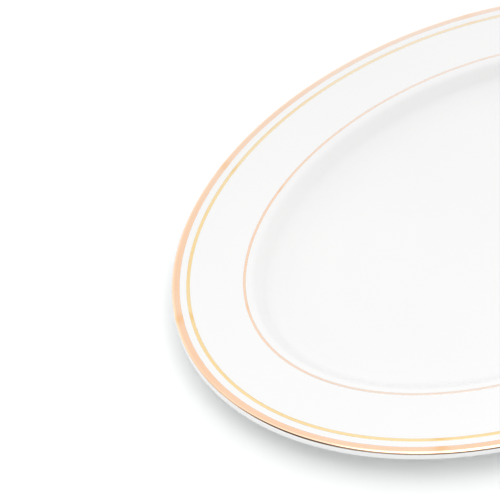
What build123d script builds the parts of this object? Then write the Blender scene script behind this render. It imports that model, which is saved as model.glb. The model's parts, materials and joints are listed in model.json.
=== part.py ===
"""An oval china serving platter: one fired body with its glaze and three hand-laid gilt lines.

Millimetres, +Z up. The origin is on the table under the middle of the platter, and +X runs along
its length. The outline is an oval of eight tangent arcs, so every surface is turned about one of
eight upright axes. A section is drawn with x = 0 at the outermost point of the lip, x falling
towards the middle of the platter, and y as the height above the table.
"""

import os
from math import cos, radians, sin

from build123d import *

# Outline of the lip
LENGTH = 356.0
WIDTH = 265.0
END_ARC_HALF_ANGLE = 32.0
SIDE_ARC_START = 64.0
CORNER_ARC_RADIUS = 150.0

# Section of the dish
HEIGHT = 22.0
THICKNESS = 4.9
LIP_CORNER_RADIUS = 1.9
RIM_WIDTH = 35.4
RIM_OUTER_SLOPE = 8.0
RIM_INNER_SLOPE = 4.5
VERGE_RADIUS = 7.0
SHOULDER_SLOPE = 45.0
SHOULDER_RUN = 5.5
WELL_RADIUS = 13.0
RING_WIDTH = 62.0

# Foot ring
FOOT_INSET = 48.0
FOOT_FACE_WIDTH = 3.6
FOOT_WALL_FLARE = 0.8
FOOT_FILLET = 1.2
FOOT_EDGE_RADIUS = 0.6

# Coats on the body
GLAZE = 0.4
WIPED_HEIGHT = 1.0
GILT = 0.2
EDGE_BAND_WIDTH = 4.1
EDGE_BAND_END_ANGLE = 30.0
INNER_LINE_INSET = 8.1
INNER_LINE_WIDTH = 1.7
VERGE_LINE_WIDTH = 1.3


def up_normal(slope):
    """The upward normal of a surface that falls towards the middle at this slope."""
    return Vector(-sin(radians(slope)), cos(radians(slope)))


def downhill(slope):
    """The direction down such a surface, towards the middle."""
    return Vector(-cos(radians(slope)), -sin(radians(slope)))


# Arc centres of the section, where each arc is tangent to the next
LIP_FLANK = (THICKNESS - 2 * LIP_CORNER_RADIUS) / cos(radians(RIM_OUTER_SLOPE))
LIP_CENTRE = Vector(-LIP_CORNER_RADIUS, HEIGHT - LIP_CORNER_RADIUS)
LOWER_LIP_CENTRE = LIP_CENTRE - Vector(0, LIP_FLANK)
RIM_START = LIP_CENTRE + up_normal(RIM_OUTER_SLOPE) * LIP_CORNER_RADIUS
RIM_RADIUS = (RIM_WIDTH + RIM_START.X) / (sin(radians(RIM_OUTER_SLOPE)) - sin(radians(RIM_INNER_SLOPE)))
RIM_CENTRE = RIM_START + up_normal(RIM_OUTER_SLOPE) * RIM_RADIUS
VERGE = RIM_CENTRE - up_normal(RIM_INNER_SLOPE) * RIM_RADIUS
VERGE_CENTRE = VERGE - up_normal(RIM_INNER_SLOPE) * VERGE_RADIUS
SHOULDER_TOP = VERGE_CENTRE + up_normal(SHOULDER_SLOPE) * VERGE_RADIUS
SHOULDER_END = SHOULDER_TOP + downhill(SHOULDER_SLOPE) * SHOULDER_RUN
WELL_CENTRE = SHOULDER_END + up_normal(SHOULDER_SLOPE) * WELL_RADIUS
FLOOR_HEIGHT = WELL_CENTRE.Y - WELL_RADIUS
UNDERSIDE_HEIGHT = FLOOR_HEIGHT - THICKNESS


def section_arc(centre, radius, start_slope, end_slope):
    """An arc between two surface slopes. A negative radius is one that arches upward."""
    slopes = (start_slope, (start_slope + end_slope) / 2, end_slope)
    return ThreePointArc(*[centre - up_normal(slope) * radius for slope in slopes])


def dish_line(depth):
    """The dished surface at this depth under the face of the glaze, from the lip inward."""
    rim = section_arc(RIM_CENTRE, RIM_RADIUS + depth, RIM_OUTER_SLOPE, RIM_INNER_SLOPE)
    verge = section_arc(VERGE_CENTRE, depth - VERGE_RADIUS, RIM_INNER_SLOPE, SHOULDER_SLOPE)
    well = section_arc(WELL_CENTRE, WELL_RADIUS + depth, SHOULDER_SLOPE, 0)
    shoulder = Line(verge @ 1, well @ 0)
    floor = Line(well @ 1, Vector(-RING_WIDTH, FLOOR_HEIGHT - depth))
    return [rim, verge, shoulder, well, floor]


def dish_section(skin):
    """The section of the dish without its foot, with its faces moved in by skin."""
    top = dish_line(skin)
    underside = dish_line(THICKNESS - skin)
    corner_radius = LIP_CORNER_RADIUS - skin
    upper_corner = section_arc(LIP_CENTRE, -corner_radius, RIM_OUTER_SLOPE, -90)
    lower_corner = section_arc(LOWER_LIP_CENTRE, corner_radius, 90, RIM_OUTER_SLOPE)
    flank = Line(upper_corner @ 1, lower_corner @ 0)
    underside_start = Line(lower_corner @ 1, underside[0] @ 0)
    ring_edge = Line(top[-1] @ 1, underside[-1] @ 1)
    return make_face([*top, ring_edge, *underside, underside_start, lower_corner, flank, upper_corner])


def foot_section(skin):
    """The foot ring, reaching up into the dish, with its walls moved in by skin."""
    face_half = FOOT_FACE_WIDTH / 2 - skin
    top_half = face_half + FOOT_WALL_FLARE
    top = FLOOR_HEIGHT - THICKNESS / 2
    corners = [(-face_half, 0), (face_half, 0), (top_half, top), (-top_half, top)]
    return make_face(Polyline(*[(x - FOOT_INSET, y) for x, y in corners], close=True))


def platter_section(skin):
    """The whole section, with the foot faired into the underside."""
    section = dish_section(skin) + foot_section(skin)
    reach = FOOT_FACE_WIDTH / 2 + FOOT_WALL_FLARE
    near_foot = section.vertices().filter_by_position(Axis.X, -FOOT_INSET - reach, -FOOT_INSET + reach)
    roots = near_foot.filter_by_position(Axis.Y, WIPED_HEIGHT, FLOOR_HEIGHT)
    return fillet(roots, FOOT_FILLET + skin)


def body_section():
    """The biscuit body, which is bare only at the foot, where its edges are rounded."""
    section = platter_section(GLAZE)
    return fillet(section.vertices().group_by(Axis.Y)[0], FOOT_EDGE_RADIUS)


def gilt_skin():
    """The outermost layer of the dish, out of which the gilt lines are cut."""
    return dish_section(0) - dish_section(GILT)


def edge_band_section():
    """Gilding on the outer rim and over the rounded lip."""
    end = radians(EDGE_BAND_END_ANGLE)
    beyond = LIP_CENTRE + Vector(cos(end), sin(end)) * THICKNESS
    top = HEIGHT + THICKNESS
    window = Polyline(
        (-EDGE_BAND_WIDTH, top),
        (beyond.X, top),
        (beyond.X, beyond.Y),
        (LIP_CENTRE.X, LIP_CENTRE.Y),
        (-EDGE_BAND_WIDTH, LIP_CENTRE.Y),
        close=True,
    )
    return gilt_skin() & make_face(window)


def gilt_line_section(inset, width):
    """A gilt line on the rim, with its middle this far in from the lip."""
    return gilt_skin() & Pos(-inset, HEIGHT) * Rectangle(width, 2 * THICKNESS)


def inner_line_section():
    return gilt_line_section(INNER_LINE_INSET, INNER_LINE_WIDTH)


def verge_line_section():
    """The line that ends where the rim begins to turn down."""
    return gilt_line_section(RIM_WIDTH - VERGE_LINE_WIDTH / 2, VERGE_LINE_WIDTH)


def glaze_sections():
    """The glaze over the top and under the rim, and the glaze inside the foot ring."""
    wiped = Pos(-RING_WIDTH / 2, 0) * Rectangle(2 * RING_WIDTH, 2 * WIPED_HEIGHT)
    glaze = platter_section(0) - body_section() - wiped
    recess, coat = glaze.faces().sort_by(SortBy.AREA)
    gilt = edge_band_section() + inner_line_section() + verge_line_section()
    return coat - gilt, recess


def oval_arcs():
    """Centre, radius, start angle and span of each arc of the lip, anticlockwise from the +X end."""
    half_length = LENGTH / 2
    half_width = WIDTH / 2
    end = radians(END_ARC_HALF_ANGLE)
    side = radians(SIDE_ARC_START)
    # The end, corner and side arcs of a quarter add up to half the length and half the width.
    along = half_length - CORNER_ARC_RADIUS * (cos(end) - cos(side))
    across = half_width - CORNER_ARC_RADIUS * (sin(side) - sin(end))
    end_along = 1 - cos(end)
    side_across = 1 - sin(side)
    determinant = end_along * side_across - cos(side) * sin(end)
    end_radius = (along * side_across - across * cos(side)) / determinant
    side_radius = (across * end_along - along * sin(end)) / determinant

    end_x = half_length - end_radius
    side_y = half_width - side_radius
    corner_x = end_x + (end_radius - CORNER_ARC_RADIUS) * cos(end)
    corner_y = (end_radius - CORNER_ARC_RADIUS) * sin(end)
    corner_span = SIDE_ARC_START - END_ARC_HALF_ANGLE
    quarter_turn = 90
    arcs = []
    for half_turn, sign in ((0, 1), (2 * quarter_turn, -1)):
        arcs += [
            ((sign * end_x, 0), end_radius, half_turn - END_ARC_HALF_ANGLE, 2 * END_ARC_HALF_ANGLE),
            ((sign * corner_x, sign * corner_y), CORNER_ARC_RADIUS, half_turn + END_ARC_HALF_ANGLE, corner_span),
            ((0, sign * side_y), side_radius, half_turn + SIDE_ARC_START, 2 * (quarter_turn - SIDE_ARC_START)),
            (
                (-sign * corner_x, sign * corner_y),
                CORNER_ARC_RADIUS,
                half_turn + 2 * quarter_turn - SIDE_ARC_START,
                corner_span,
            ),
        ]
    return arcs


def around_oval(section):
    """A section turned about each arc's axis in its stretch, which carries it round the oval."""
    segments = []
    for centre, radius, start_angle, span in oval_arcs():
        outward = Vector(cos(radians(start_angle)), sin(radians(start_angle)))
        pivot = Vector(*centre)
        section_plane = Plane(origin=pivot + outward * radius, x_dir=outward, z_dir=outward.cross(Vector(0, 0, 1)))
        segments.append(revolve(section_plane * section, Axis(pivot, (0, 0, 1)), span))
    return segments


def slab(bottom, top):
    """A layer of the flat middle of the dish, inside the turned ring."""
    arcs = [
        CenterArc(centre, radius - RING_WIDTH, start_angle, span)
        for centre, radius, start_angle, span in oval_arcs()
    ]
    return extrude(Pos(0, 0, bottom) * make_face(arcs), top - bottom)


def joined(pieces):
    """One solid from pieces that meet face to face."""
    return pieces[0].fuse(*pieces[1:]).clean()


def china_body():
    return joined([*around_oval(body_section()), slab(UNDERSIDE_HEIGHT + GLAZE, FLOOR_HEIGHT - GLAZE)])


def glaze_coat():
    coat, _ = glaze_sections()
    return joined([*around_oval(coat), slab(FLOOR_HEIGHT - GLAZE, FLOOR_HEIGHT)])


def foot_recess_glaze():
    _, recess = glaze_sections()
    return joined([*around_oval(recess), slab(UNDERSIDE_HEIGHT, UNDERSIDE_HEIGHT + GLAZE)])


def edge_gilding():
    return joined(around_oval(edge_band_section()))


def inner_gold_line():
    return joined(around_oval(inner_line_section()))


def verge_gold_line():
    return joined(around_oval(verge_line_section()))


os.makedirs("parts", exist_ok=True)
for make_part in (china_body, glaze_coat, foot_recess_glaze, edge_gilding, inner_gold_line, verge_gold_line):
    export_step(make_part(), f"parts/{make_part.__name__}.step")
print("floor", round(FLOOR_HEIGHT, 2), "underside", round(UNDERSIDE_HEIGHT, 2), "verge", round(VERGE.Y, 2))
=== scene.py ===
import json
from math import cos, pi, radians, sin, sqrt

import bpy
import numpy as np
from mathutils import Matrix, Vector


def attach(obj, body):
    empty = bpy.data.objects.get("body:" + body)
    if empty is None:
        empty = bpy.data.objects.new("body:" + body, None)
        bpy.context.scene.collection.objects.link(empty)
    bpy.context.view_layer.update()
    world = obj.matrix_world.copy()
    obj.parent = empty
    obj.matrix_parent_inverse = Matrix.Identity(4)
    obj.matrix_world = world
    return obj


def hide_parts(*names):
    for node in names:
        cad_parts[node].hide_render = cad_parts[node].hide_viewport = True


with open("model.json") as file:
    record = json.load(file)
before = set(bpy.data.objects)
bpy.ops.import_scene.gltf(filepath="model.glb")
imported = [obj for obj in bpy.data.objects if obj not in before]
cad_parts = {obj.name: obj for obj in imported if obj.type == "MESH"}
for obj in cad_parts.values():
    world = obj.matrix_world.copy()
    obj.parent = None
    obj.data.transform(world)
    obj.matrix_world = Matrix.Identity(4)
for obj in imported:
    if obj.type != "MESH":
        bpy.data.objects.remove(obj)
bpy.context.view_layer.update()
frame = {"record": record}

# Sizes in metres. The outline comes from the frame, and the section is the one the part is made to.
MM = 0.001
SIZE = frame["record"]["size"]["bbox_m"]
HALF_LENGTH = SIZE[0] / 2
HALF_WIDTH = SIZE[1] / 2
HEIGHT = SIZE[2]
THICKNESS = 4.9 * MM
LIP_CORNER_RADIUS = 1.9 * MM
RIM_WIDTH = 35.4 * MM
RIM_OUTER_SLOPE = 8.0
RIM_INNER_SLOPE = 4.5
VERGE_RADIUS = 7.0 * MM
SHOULDER_SLOPE = 45.0
SHOULDER_RUN = 5.5 * MM
WELL_RADIUS = 13.0 * MM
RING_WIDTH = 62.0 * MM
FOOT_INSET = 48.0 * MM
FOOT_FACE_WIDTH = 3.6 * MM
FOOT_WALL_FLARE = 0.8 * MM
FOOT_FILLET = 1.2 * MM
FOOT_EDGE_RADIUS = 0.6 * MM
GLAZE = 0.4 * MM
WIPED_HEIGHT = 1.0 * MM
GLAZE_BEAD = 0.3 * MM
EDGE_BAND_WIDTH = 4.1 * MM
EDGE_BAND_END_ANGLE = 30.0
INNER_LINE_INSET = 8.1 * MM
INNER_LINE_WIDTH = 1.7 * MM
VERGE_LINE_WIDTH = 1.3 * MM

# Gilding by hand on a banding wheel: a raised film, edges that wander a little, and laps where the
# brush was lifted and set down again, in degrees round the rim.
FILM = 0.04 * MM
FILM_ROOT = 0.03 * MM
FILM_EDGE_SHARPNESS = 8
LAP_THICKER = 0.5
WANDER = 0.035 * MM
BRUSH_LAPS = (14.0, 68.0, 123.8, 164.0, 228.3, 281.0, 327.0)
LAP_LENGTH = 1.3
LAP_SPREAD = 0.12 * MM
# Round the lip the edge band ends in a thin dark brown line, which fades at the left and the far side:
# partly gilt fired brown where it thins, partly a painted dark reflection of the low surroundings on the
# camera's side. The band's outer edge rises a little round one part of the oval.
BURNT_AND_REFLECTION_WIDTH = 0.66 * MM
BURNT_AND_REFLECTION_FADE = 0.35 * MM
BURNT_AND_REFLECTION_RAGGED = 1.2 * MM
BURNT_AND_REFLECTION_MEAN, BURNT_AND_REFLECTION_SWING, BURNT_AND_REFLECTION_TURN = 0.6, 1.5, 10.0
EDGE_LIFT = 0.5 * MM
EDGE_LIFT_MIDDLE = 190.0
EDGE_LIFT_SHARPNESS = 20
# How much pale shows through thin gilt: the mean, the swing, where round the oval it peaks in degrees,
# and how many times it peaks
NOT_THIN = (0.0, 0.0, 0.0, 1)
OUTER_LINES_THIN = (-0.1, 0.6, 60.0, 1)
VERGE_LINE_THIN = (0.42, 0.25, 60.0, 2)
# Brush streaks are long round the oval and fine across the line, and laps are nearly all lap colour
STREAK_SCALE_ROUND = 60.0
STREAK_SCALE_ACROSS = 9000.0
LAP_STRENGTH = 0.85
# The pale that shows through, and the brown of the band's fired edge, which is also painted dark reflection
WORN_PALE = (0.86, 0.82, 0.79)
FIRED_BROWN_AND_REFLECTION = (0.16, 0.10, 0.06)

# How strongly firing warps the rim
WARP = 0.09 * MM

# How finely the meshes are divided: round the oval, round it for the gilt, and from cap edge to centre
STEPS_ROUND = 720
GILT_STEPS_ROUND = 1440
CAP_RINGS = 10


def up_normal(slope):
    """The upward normal of a section's surface where it falls inward at this slope."""
    return np.array((-sin(radians(slope)), cos(radians(slope))))


def downhill(slope):
    return np.array((-cos(radians(slope)), -sin(radians(slope))))


# Arc centres of the section, where x = 0 is the outermost point of the lip and x falls inward
LIP_FLANK = (THICKNESS - 2 * LIP_CORNER_RADIUS) / cos(radians(RIM_OUTER_SLOPE))
LIP_CENTRE = np.array((-LIP_CORNER_RADIUS, HEIGHT - LIP_CORNER_RADIUS))
LOWER_LIP_CENTRE = LIP_CENTRE - np.array((0, LIP_FLANK))
RIM_START = LIP_CENTRE + LIP_CORNER_RADIUS * up_normal(RIM_OUTER_SLOPE)
RIM_RADIUS = (RIM_WIDTH + RIM_START[0]) / (sin(radians(RIM_OUTER_SLOPE)) - sin(radians(RIM_INNER_SLOPE)))
RIM_CENTRE = RIM_START + RIM_RADIUS * up_normal(RIM_OUTER_SLOPE)
VERGE = RIM_CENTRE - RIM_RADIUS * up_normal(RIM_INNER_SLOPE)
VERGE_CENTRE = VERGE - VERGE_RADIUS * up_normal(RIM_INNER_SLOPE)
SHOULDER_TOP = VERGE_CENTRE + VERGE_RADIUS * up_normal(SHOULDER_SLOPE)
SHOULDER_END = SHOULDER_TOP + SHOULDER_RUN * downhill(SHOULDER_SLOPE)
WELL_CENTRE = SHOULDER_END + WELL_RADIUS * up_normal(SHOULDER_SLOPE)
FLOOR_HEIGHT = WELL_CENTRE[1] - WELL_RADIUS


def section_arc(centre, radius, start_slope, end_slope, steps):
    """Points of an arc between two slopes. A negative radius is one that arches upward."""
    slopes = np.linspace(start_slope, end_slope, steps + 1)
    return np.array([centre - radius * up_normal(slope) for slope in slopes])


def corner(centre, start, end, steps):
    """Points of the short arc about centre, from one point to another."""
    first, last = start - centre, end - centre
    from_angle = np.arctan2(first[1], first[0])
    turn = (np.arctan2(last[1], last[0]) - from_angle + pi) % (2 * pi) - pi
    angles = from_angle + turn * np.linspace(0, 1, steps + 1)
    return centre + np.hypot(*first) * np.column_stack((np.cos(angles), np.sin(angles)))


def dish_line(depth, last_slope=0.0):
    """The dished surface at this depth under the glaze's face, from the lip to a slope in the well."""
    return np.vstack((
        section_arc(RIM_CENTRE, RIM_RADIUS + depth, RIM_OUTER_SLOPE, RIM_INNER_SLOPE, steps=26),
        section_arc(VERGE_CENTRE, depth - VERGE_RADIUS, RIM_INNER_SLOPE, SHOULDER_SLOPE, steps=14)[1:],
        section_arc(WELL_CENTRE, WELL_RADIUS + depth, SHOULDER_SLOPE, last_slope, steps=16),
    ))


def slab_edge(depth):
    return np.array([(-RING_WIDTH, FLOOR_HEIGHT - depth)])


def lip_line(skin):
    """Round the lip, from the rim's face to its underside."""
    radius = LIP_CORNER_RADIUS - skin
    return np.vstack((
        section_arc(LIP_CENTRE, -radius, RIM_OUTER_SLOPE, -90, steps=14)[1:],
        section_arc(LOWER_LIP_CENTRE, radius, 90, RIM_OUTER_SLOPE, steps=12),
    ))


class FootWall:
    """One wall of the foot ring, side 1 outward and -1 inward, faired into the underside."""

    def __init__(self, skin, side):
        face_half = FOOT_FACE_WIDTH / 2 - skin
        self.base = np.array((side * face_half - FOOT_INSET, 0))
        self.up = np.array((side * FOOT_WALL_FLARE, FLOOR_HEIGHT - THICKNESS / 2))
        self.up /= np.hypot(*self.up)
        self.out = side * np.array((self.up[1], -self.up[0]))
        fillet = FOOT_FILLET + skin
        under_radius = WELL_RADIUS + THICKNESS - skin
        reach = self.base + fillet * self.out - WELL_CENTRE
        along = reach @ self.up
        rise = -along - sqrt(along**2 - reach @ reach + (under_radius + fillet) ** 2)
        centre = WELL_CENTRE + reach + rise * self.up
        away = (centre - WELL_CENTRE) / (under_radius + fillet)
        self.slope = np.degrees(np.arctan2(away[0], -away[1]))
        self.root = corner(centre, WELL_CENTRE + under_radius * away, centre - fillet * self.out, steps=10)

    def at_height(self, height):
        return self.base + self.up * height / self.up[1]

    def rounded_foot(self):
        """From the wall round the bottom edge to the foot's face."""
        rise = FOOT_EDGE_RADIUS * (1 + self.out[1]) / self.up[1]
        centre = self.base - FOOT_EDGE_RADIUS * self.out + rise * self.up
        return corner(centre, centre + FOOT_EDGE_RADIUS * self.out, np.array((centre[0], 0)), steps=6)


def outside_line(skin):
    """From the middle of the dish over the rim and lip, and under them to the foot's outer wall."""
    wall = FootWall(skin, 1)
    return np.vstack((
        slab_edge(skin),
        dish_line(skin)[::-1],
        lip_line(skin),
        dish_line(THICKNESS - skin, wall.slope),
        wall.root[1:],
    ))


def recess_line(skin):
    """From the middle of the underside to the foot's inner wall."""
    wall = FootWall(skin, -1)
    arc = section_arc(WELL_CENTRE, WELL_RADIUS + THICKNESS - skin, 0, wall.slope, steps=8)
    return np.vstack((slab_edge(THICKNESS - skin), arc, wall.root[1:]))


def glaze_section(line, side):
    """A coat of glaze: its face, the bead where it was wiped off the foot, and its side on the body."""
    face_wall, body_wall = FootWall(0, side), FootWall(GLAZE, side)
    wiped = body_wall.at_height(WIPED_HEIGHT)
    bead_top = face_wall.at_height(WIPED_HEIGHT + GLAZE_BEAD)
    turns = np.linspace(0, pi / 2, 6)[:, None]
    bead = np.hstack((wiped[0] + (bead_top[0] - wiped[0]) * np.cos(turns),
                      bead_top[1] + (wiped[1] - bead_top[1]) * np.sin(turns)))
    return np.vstack((line(0), bead, line(GLAZE)[::-1]))


def body_section():
    outer, inner = FootWall(GLAZE, 1), FootWall(GLAZE, -1)
    return np.vstack((
        outside_line(GLAZE),
        outer.rounded_foot(),
        inner.rounded_foot()[::-1],
        recess_line(GLAZE)[::-1],
    ))


def warp(plan):
    """Firing leaves the rim a touch out of true: nothing at the foot, and up to 0.07 mm low at the lip."""
    along, across = plan[..., 0] / HALF_LENGTH, plan[..., 1] / HALF_WIDTH
    reach = np.clip(along**2 + across**2 - 0.5, 0, None)
    swell = np.sin(2.3 * along + 0.7) * np.cos(1.9 * across - 0.4)
    return WARP * reach * (swell - 0.5)


def carried_round(section, steps):
    """Points of a section carried round the oval: the section is one outline, or one for each step."""
    turn = np.linspace(0, 2 * pi, steps, endpoint=False)
    edge = np.column_stack((HALF_LENGTH * np.cos(turn), HALF_WIDTH * np.sin(turn)))
    outward = np.column_stack((HALF_WIDTH * np.cos(turn), HALF_LENGTH * np.sin(turn)))
    outward /= np.linalg.norm(outward, axis=1, keepdims=True)
    section = np.broadcast_to(section, (steps, *section.shape[-2:]))
    plan = edge[:, None, :] + outward[:, None, :] * section[..., :1]
    height = section[..., 1:] + warp(plan)[..., None]
    return np.concatenate((plan, height), axis=2)


def mesh_piece(name, points, faces, attributes=None):
    mesh = bpy.data.meshes.new(name)
    mesh.from_pydata(points.tolist(), [], faces)
    for label, values in (attributes or {}).items():
        attribute = mesh.attributes.new(label, "FLOAT", "POINT")
        attribute.data.foreach_set("value", np.asarray(values, np.float32))
    mesh.shade_smooth()
    mesh.validate()
    piece = bpy.data.objects.new(name, mesh)
    bpy.context.scene.collection.objects.link(piece)
    return piece


def ring_faces(steps, count, closed):
    """Quads between neighbouring sections; closed joins a section's last point to its first."""
    step, point = np.meshgrid(np.arange(steps), np.arange(count if closed else count - 1), indexing="ij")
    step, point = step.ravel(), point.ravel()
    next_step, next_point = (step + 1) % steps, (point + 1) % count
    corners = ((step, point), (next_step, point), (next_step, next_point), (step, next_point))
    return np.column_stack([at * count + along for at, along in corners]).tolist()


def vessel(name, section):
    """A closed piece turned from an open section, with a flat cap inside each end of it."""
    steps = STEPS_ROUND
    ring = carried_round(section, steps)
    count = section.shape[0]
    points = [ring.reshape(-1, 3)]
    faces = ring_faces(steps, count, closed=False)
    total = steps * count
    for end, flip in ((0, False), (count - 1, True)):
        outer = np.arange(steps) * count + end
        for scale in np.linspace(1, 0, CAP_RINGS + 1)[1:-1]:
            inner = total + np.arange(steps)
            points.append(ring[:, end] * (scale, scale, 1))
            total += steps
            quads = np.column_stack((outer, inner, np.roll(inner, -1), np.roll(outer, -1)))
            faces += (quads[:, ::-1] if flip else quads).tolist()
            outer = inner
        points.append(np.array([(0, 0, ring[0, end, 2])]))
        fan = np.column_stack((outer, np.full(steps, total), np.roll(outer, -1)))
        faces += (fan[:, ::-1] if flip else fan).tolist()
        total += 1
    return mesh_piece(name, np.vstack(points), faces)


def on_rim(run, depth):
    """Points in the top face, this far from the lip's corner: inward if positive, else round the lip."""
    slope = np.where(run > 0, RIM_OUTER_SLOPE - np.degrees(run / RIM_RADIUS),
                     RIM_OUTER_SLOPE + np.degrees(run / LIP_CORNER_RADIUS))
    angle = np.radians(slope)
    normal = np.stack((-np.sin(angle), np.cos(angle)), axis=-1)
    inside = (run <= 0)[..., None]
    centre = np.where(inside, LIP_CENTRE, RIM_CENTRE)
    radius = np.where(inside, LIP_CORNER_RADIUS - depth[..., None], -(RIM_RADIUS + depth[..., None]))
    return centre + radius * normal


def run_at(inset):
    """How far along the face a point at this inset from the outline is from the lip's corner."""
    sine = (-inset - RIM_CENTRE[0]) / RIM_RADIUS
    return RIM_RADIUS * (radians(RIM_OUTER_SLOPE) - np.arcsin(sine))


def line_runs(inset, width):
    """The runs of a line's outer and inner edges, from the inset of its middle."""
    return run_at(inset - width / 2), run_at(inset + width / 2)


def wander(turn, seed):
    """The small drift of a brushed edge round the oval."""
    draws = np.random.default_rng(seed)
    drift = np.zeros_like(turn)
    for waves in (3, 7, 17, 31, 61, 113):
        drift += draws.normal() * np.sin(waves * turn + draws.uniform(0, 2 * pi)) / sqrt(waves)
    return WANDER * drift


def laps(turn):
    """How much each point round the oval lies in a brush lap, from 0 to 1."""
    away = [(np.degrees(turn) - lap + 180) % 360 - 180 for lap in BRUSH_LAPS]
    return sum(np.exp(-(distance / LAP_LENGTH) ** 2) for distance in away)


def gilt(name, outer_run, inner_run, across, seed, lap_spread=0.0, lift=0.0, thin=NOT_THIN):
    """A gilt line as a closed film on the glaze, between two runs along the face. Lift is how far its outer
    edge rises. Across counts the steps over its width."""
    steps = GILT_STEPS_ROUND
    turn = np.linspace(0, 2 * pi, steps, endpoint=False)
    lapped = laps(turn)
    lifted = (0.5 + 0.5 * np.cos(turn - radians(EDGE_LIFT_MIDDLE))) ** EDGE_LIFT_SHARPNESS
    outer = outer_run + wander(turn, seed) + lift * lifted
    inner = inner_run + wander(turn, seed + 1) + lap_spread * lapped
    share = np.linspace(0, 1, across + 1)
    run = outer[:, None] + (inner - outer)[:, None] * share
    rounded_edges = 1 - np.abs(2 * share - 1) ** FILM_EDGE_SHARPNESS
    film = FILM * rounded_edges * (1 + LAP_THICKER * lapped[:, None])
    face = on_rim(run, -film)
    root = on_rim(run[:, 1:-1], np.full_like(run[:, 1:-1], FILM_ROOT))
    section = np.concatenate((face, root[:, ::-1]), axis=1)
    count = section.shape[1]
    points = carried_round(section, steps).reshape(-1, 3)
    along_face = np.concatenate((run, run[:, -2:0:-1]), axis=1).ravel()
    from_edge = along_face - np.repeat(outer, count)
    mean, swing, peak, times = thin
    thinned = np.clip(mean + swing * np.cos(times * (turn - radians(peak))), 0, 1)
    # How strong the dark brown outer edge is round the oval: fired brown gilt and a painted dark
    # reflection, strongest on the near side
    burnt_and_reflection = np.clip(BURNT_AND_REFLECTION_MEAN - BURNT_AND_REFLECTION_SWING * np.sin(turn - radians(BURNT_AND_REFLECTION_TURN)), 0, 1) * (lift > 0)
    attributes = {
        "across": along_face, "from_edge": from_edge, "burnt_and_reflection": np.repeat(burnt_and_reflection, count),
        "lap": np.repeat(lapped, count), "thin": np.repeat(thinned, count),
    }
    faces = [face[::-1] for face in ring_faces(steps, count, closed=True)]
    return mesh_piece(name, points, faces, attributes)


# Materials


class Nodes:
    """The node tree of a material or world, with short calls for making and joining nodes."""

    def __init__(self, owner):
        owner.use_nodes = True
        self.owner = owner
        self.tree = owner.node_tree

    def new(self, kind, inputs=None, **settings):
        node = self.tree.nodes.new(kind)
        for key, value in settings.items():
            setattr(node, key, value)
        for key, value in (inputs or {}).items():
            self.put(node, key, value)
        return node

    def put(self, node, key, value):
        """Joins a socket to the input, or sets the input to a plain value."""
        if isinstance(value, bpy.types.NodeSocket):
            self.tree.links.new(value, node.inputs[key])
        else:
            node.inputs[key].default_value = value

    def shade(self, **values):
        """Sets the main shader's inputs and gives back the owner of the tree."""
        for key, value in values.items():
            self.put(self.tree.nodes["Principled BSDF"], key.replace("_", " "), value)
        return self.owner

    def place(self):
        return self.new("ShaderNodeTexCoord").outputs["Object"]

    def noise(self, vector, scale, detail=2.0, roughness=0.5):
        inputs = {"Vector": vector, "Scale": scale, "Detail": detail, "Roughness": roughness}
        return self.new("ShaderNodeTexNoise", inputs).outputs["Fac"]

    def ramp(self, factor, *stops):
        """A colour ramp from (position, colour) pairs. A plain number stands for a grey."""
        node = self.new("ShaderNodeValToRGB", {"Fac": factor})
        elements = node.color_ramp.elements
        while len(elements) < len(stops):
            elements.new(0.5)
        for element, (position, colour) in zip(elements, stops):
            element.position = position
            element.color = (colour,) * 3 + (1,) if isinstance(colour, (int, float)) else (*colour, 1)
        return node.outputs["Color"]

    def mix(self, factor, first, second):
        node = self.new("ShaderNodeMix", data_type="RGBA")
        self.put(node, 0, factor)
        for key, value in ((6, first), (7, second)):
            self.put(node, key, value if isinstance(value, bpy.types.NodeSocket) else (*value, 1))
        return node.outputs[2]

    def math(self, operation, first, second=0.0):
        node = self.new("ShaderNodeMath", operation=operation)
        self.put(node, 0, first)
        self.put(node, 1, second)
        return node.outputs[0]

    def dot(self, first, second):
        inputs = {0: first, 1: second}
        return self.new("ShaderNodeVectorMath", inputs, operation="DOT_PRODUCT").outputs["Value"]

    def attribute(self, name):
        return self.new("ShaderNodeAttribute", attribute_name=name).outputs["Fac"]

    def bump(self, height, distance, normal=None):
        inputs = {"Height": height, "Distance": distance, "Strength": 1.0}
        if normal is not None:
            inputs["Normal"] = normal
        return self.new("ShaderNodeBump", inputs).outputs["Normal"]


def white_glaze():
    """Clear glaze on white china: a mirror gloss with the faint waviness and pooling of a dipped coat."""
    nodes = Nodes(bpy.data.materials.new("white_glaze"))
    place = nodes.place()
    drift = nodes.noise(place, 9.0, 3.0)
    tone = nodes.ramp(drift, (0.35, (0.780, 0.782, 0.780)), (0.65, (0.796, 0.796, 0.792)))
    waves = nodes.noise(place, 42.0, 1.0)
    peel = nodes.noise(place, 700.0, 2.0)
    normal = nodes.bump(waves, 0.03 * MM)
    normal = nodes.bump(peel, 0.0015 * MM, normal=normal)
    rough = nodes.ramp(nodes.noise(place, 30.0, 4.0), (0.3, 0.045), (0.7, 0.075))
    return nodes.shade(Base_Color=tone, Roughness=rough, IOR=1.5, Normal=normal)


def biscuit_china():
    """Unglazed china on the wiped foot: fine matt grain, with the grey of shelf and table rubbed in."""
    nodes = Nodes(bpy.data.materials.new("biscuit_china"))
    place = nodes.place()
    grain = nodes.noise(place, 1600.0, 6.0, 0.7)
    stain = nodes.noise(place, 60.0, 5.0, 0.6)
    tone = nodes.ramp(stain, (0.3, (0.60, 0.575, 0.53)), (0.6, (0.78, 0.755, 0.70)))
    tone = nodes.mix(nodes.ramp(grain, (0.35, 0.25), (0.65, 0.0)), tone, (0.45, 0.42, 0.38))
    return nodes.shade(Base_Color=tone, Roughness=0.85, IOR=1.5, Normal=nodes.bump(grain, 0.05 * MM))


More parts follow.
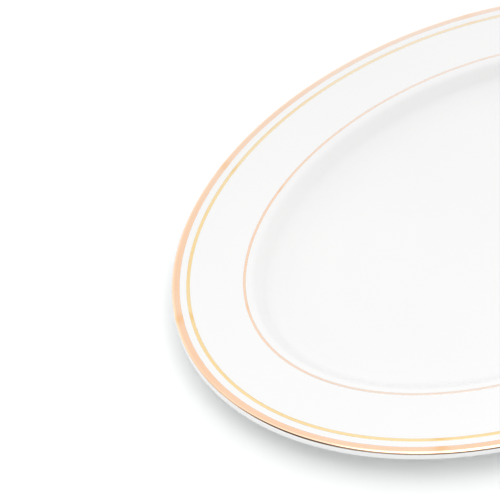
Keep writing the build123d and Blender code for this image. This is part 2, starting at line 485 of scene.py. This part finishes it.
def fired_gold(name, pale, deep, lap_colour, roughness, burnt_and_reflection=False):
    """Burnished gold laid on with a brush: streaks that run round the oval, and deeper metal in the laps.
    Where asked, its outer edge goes dark brown: thin gilt fired brown, and a painted dark reflection."""
    nodes = Nodes(bpy.data.materials.new(name))
    place = nodes.place()
    across = nodes.attribute("across")
    plan = nodes.new("ShaderNodeSeparateXYZ", {"Vector": place})
    streak_place = nodes.new("ShaderNodeCombineXYZ", {
        "X": nodes.math("MULTIPLY", plan.outputs["X"], STREAK_SCALE_ROUND),
        "Y": nodes.math("MULTIPLY", plan.outputs["Y"], STREAK_SCALE_ROUND),
        "Z": nodes.math("MULTIPLY", across, STREAK_SCALE_ACROSS),
    }).outputs["Vector"]
    streaks = nodes.noise(streak_place, 1.0, 3.0, 0.6)
    cloud = nodes.noise(place, 22.0, 3.0, 0.6)
    tone = nodes.mix(nodes.ramp(cloud, (0.35, 0.0), (0.65, 1.0)), pale, deep)
    tone = nodes.mix(nodes.math("MULTIPLY", nodes.attribute("lap"), LAP_STRENGTH), tone, lap_colour)
    tone = nodes.mix(nodes.ramp(streaks, (0.55, 0.0), (0.75, 0.25)), tone, deep)
    tone = nodes.mix(nodes.attribute("thin"), tone, WORN_PALE)
    # The dark brown outer edge: fired brown gilt, and a painted dark reflection of the low surroundings
    if burnt_and_reflection:
        past = nodes.math("SUBTRACT", BURNT_AND_REFLECTION_WIDTH, nodes.attribute("from_edge"))
        patchy = nodes.math("MULTIPLY", nodes.math("SUBTRACT", cloud, 0.5), BURNT_AND_REFLECTION_RAGGED)
        share = nodes.math("DIVIDE", nodes.math("ADD", past, patchy), BURNT_AND_REFLECTION_FADE)
        strongest = nodes.ramp(share, (0.0, 0.0), (1.0, 0.9))
        share = nodes.math("MULTIPLY", strongest, nodes.attribute("burnt_and_reflection"))
        tone = nodes.mix(share, tone, FIRED_BROWN_AND_REFLECTION)
    rough = nodes.ramp(streaks, (0.3, roughness), (0.75, roughness * 2))
    normal = nodes.bump(streaks, 0.002 * MM)
    return nodes.shade(Base_Color=tone, Metallic=1.0, Roughness=rough, Normal=normal)


# The platter
lap_end_run = LIP_CORNER_RADIUS * radians(EDGE_BAND_END_ANGLE - 90 - RIM_OUTER_SLOPE)
verge_line_inset = RIM_WIDTH - VERGE_LINE_WIDTH / 2
platter = {
    "china_body": vessel("platter_body", body_section()),
    "glaze_coat": vessel("platter_glaze", glaze_section(outside_line, 1)),
    "foot_recess_glaze": vessel("platter_recess_glaze", glaze_section(recess_line, -1)),
    "edge_gilding": gilt(
        "platter_edge_gilding", lap_end_run, run_at(EDGE_BAND_WIDTH),
        across=26, seed=11, lap_spread=LAP_SPREAD, lift=EDGE_LIFT, thin=OUTER_LINES_THIN),
    "inner_gold_line": gilt(
        "platter_inner_gold_line", *line_runs(INNER_LINE_INSET, INNER_LINE_WIDTH),
        across=12, seed=23, thin=OUTER_LINES_THIN),
    "verge_gold_line": gilt(
        "platter_verge_gold_line", *line_runs(verge_line_inset, VERGE_LINE_WIDTH),
        across=10, seed=37, thin=VERGE_LINE_THIN),
}
materials = {
    "biscuit_china": biscuit_china(),
    "white_glaze": white_glaze(),
    # The rose gold band carries the dark brown outer edge, partly a painted dark reflection
    "rose_gold": fired_gold(
        "rose_gold", pale=(0.97, 0.68, 0.49), deep=(0.96, 0.64, 0.44), lap_colour=(0.95, 0.57, 0.31),
        roughness=0.07, burnt_and_reflection=True),
    "yellow_gold": fired_gold(
        "yellow_gold", pale=(0.96, 0.76, 0.43), deep=(0.94, 0.71, 0.37), lap_colour=(0.91, 0.62, 0.27),
        roughness=0.08),
}
slots = {part["node"]: part["material_slot"] for part in frame["record"]["subparts"]}
for node, piece in platter.items():
    piece.data.materials.append(materials[slots[node]])
    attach(piece, "root")
    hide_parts(node)


# Studio. The paper reaches this far past the platter, in metres.
FLOOR_REACH = 6.0


def floor():
    """White paper round the platter. It is open inside the foot ring, where only the underside shows it,
    and clear from below, so that light gets to the underside there."""
    sheet = carried_round(np.array([(FLOOR_REACH, 0), (-FOOT_INSET, 0)]), STEPS_ROUND)
    sheet[..., 2] = 0
    piece = mesh_piece("studio_floor", sheet.reshape(-1, 3), ring_faces(STEPS_ROUND, 2, closed=False))
    nodes = Nodes(bpy.data.materials.new("studio_floor"))
    paper = nodes.shade(Base_Color=(0.965, 0.975, 0.977, 1), Roughness=1.0, Specular_IOR_Level=0.0)
    clear = nodes.new("ShaderNodeBsdfTransparent").outputs["BSDF"]
    behind = nodes.new("ShaderNodeNewGeometry").outputs["Backfacing"]
    see_through = nodes.new("ShaderNodeMixShader", {0: behind, 2: clear})
    nodes.put(see_through, 1, nodes.tree.nodes["Principled BSDF"].outputs["BSDF"])
    nodes.put(nodes.tree.nodes["Material Output"], "Surface", see_through.outputs["Shader"])
    piece.data.materials.append(paper)


def direction(azimuth, elevation):
    """Towards a point in the sky: azimuth 0 is the platter's front, and it grows towards +X."""
    azimuth, elevation = radians(azimuth), radians(elevation)
    return Vector((sin(azimuth) * cos(elevation), -cos(azimuth) * cos(elevation), sin(elevation)))


# The walls of the white tent round the platter: which way each stands, and its brightness at heights
# from the table (0) to overhead (1)
CEILING = (0.95, 1.35)
WALLS = (
    (-26, ((0.2, 0.6), (0.7, 0.5))),
    (64, ((0.2, 1.0), (0.7, 1.12))),
    (154, ((0.2, 1.15), (0.88, 0.95))),
    (-116, ((0.2, 1.45), (0.7, 1.1))),
)
# A dark gap in it, to the left of the camera: its azimuth and elevation, and how far it reaches
GAP = (-86, 42)
GAP_DARK, GAP_EDGE = 10.0, 24.0
GAP_LEVEL = 0.08

# The light panel overhead: its centre and size in metres, and how bright its face is
PANEL_CENTRE = (-0.27, -0.55, 1.0)
PANEL_SIZE = (0.6, 0.95)
PANEL_RADIANCE = 2.0


def overhead_panel():
    """A light panel hung flat above the table, on the camera's side of the platter."""
    light = bpy.data.lights.new("overhead_panel", "AREA")
    light.shape = "RECTANGLE"
    light.size, light.size_y = PANEL_SIZE
    light.energy = PANEL_RADIANCE * light.size * light.size_y * pi
    lamp = bpy.data.objects.new("overhead_panel", light)
    lamp.location = PANEL_CENTRE
    bpy.context.scene.collection.objects.link(lamp)


def tent():
    """The light of a white tent, with each wall fading into its neighbours and into the ceiling."""
    world = bpy.data.worlds.new("white_tent")
    bpy.context.scene.world = world
    nodes = Nodes(world)
    place = nodes.new("ShaderNodeTexCoord").outputs["Generated"]
    up = nodes.new("ShaderNodeSeparateXYZ", {"Vector": place}).outputs["Z"]
    level = nodes.math("MAXIMUM", nodes.math("SUBTRACT", 1.0, nodes.math("MULTIPLY", up, up)), 1e-5)
    radiance = 0.0
    for azimuth, heights in WALLS:
        facing = nodes.math("MAXIMUM", nodes.dot(place, direction(azimuth, 0)), 0.0)
        share = nodes.math("DIVIDE", nodes.math("MULTIPLY", facing, facing), level)
        wall = nodes.ramp(up, *heights, CEILING)
        radiance = nodes.math("ADD", radiance, nodes.math("MULTIPLY", share, wall))
    open_edge = (cos(radians(GAP_EDGE)), 1.0)
    dark_middle = (cos(radians(GAP_DARK)), GAP_LEVEL)
    gap = nodes.ramp(nodes.dot(place, direction(*GAP)), open_edge, dark_middle)
    nodes.put(nodes.tree.nodes["Background"], "Color", nodes.math("MULTIPLY", radiance, gap))


def camera():
    """The camera, from the point it aims at, the direction and distance it stands off, and its roll."""
    aim = Vector((-0.1105, 0.0693, 0.0))
    azimuth, elevation, roll = -25.9, 47.52, -9.46
    distance = 0.8252
    data = bpy.data.cameras.new("camera")
    data.sensor_width = 36.0
    data.lens = 118.77
    back = direction(azimuth, elevation)
    right = Vector((cos(radians(azimuth)), sin(radians(azimuth)), 0))
    up = back.cross(right)
    basis = Matrix((right, up, back)).transposed()
    cam = bpy.data.objects.new("camera", data)
    cam.rotation_mode = "QUATERNION"
    cam.rotation_quaternion = (basis @ Matrix.Rotation(radians(roll), 3, "Z")).to_quaternion()
    cam.location = aim + back * distance
    bpy.context.scene.collection.objects.link(cam)
    bpy.context.scene.camera = cam


floor()
tent()
overhead_panel()
camera()
bpy.context.scene.view_settings.view_transform = "Standard"
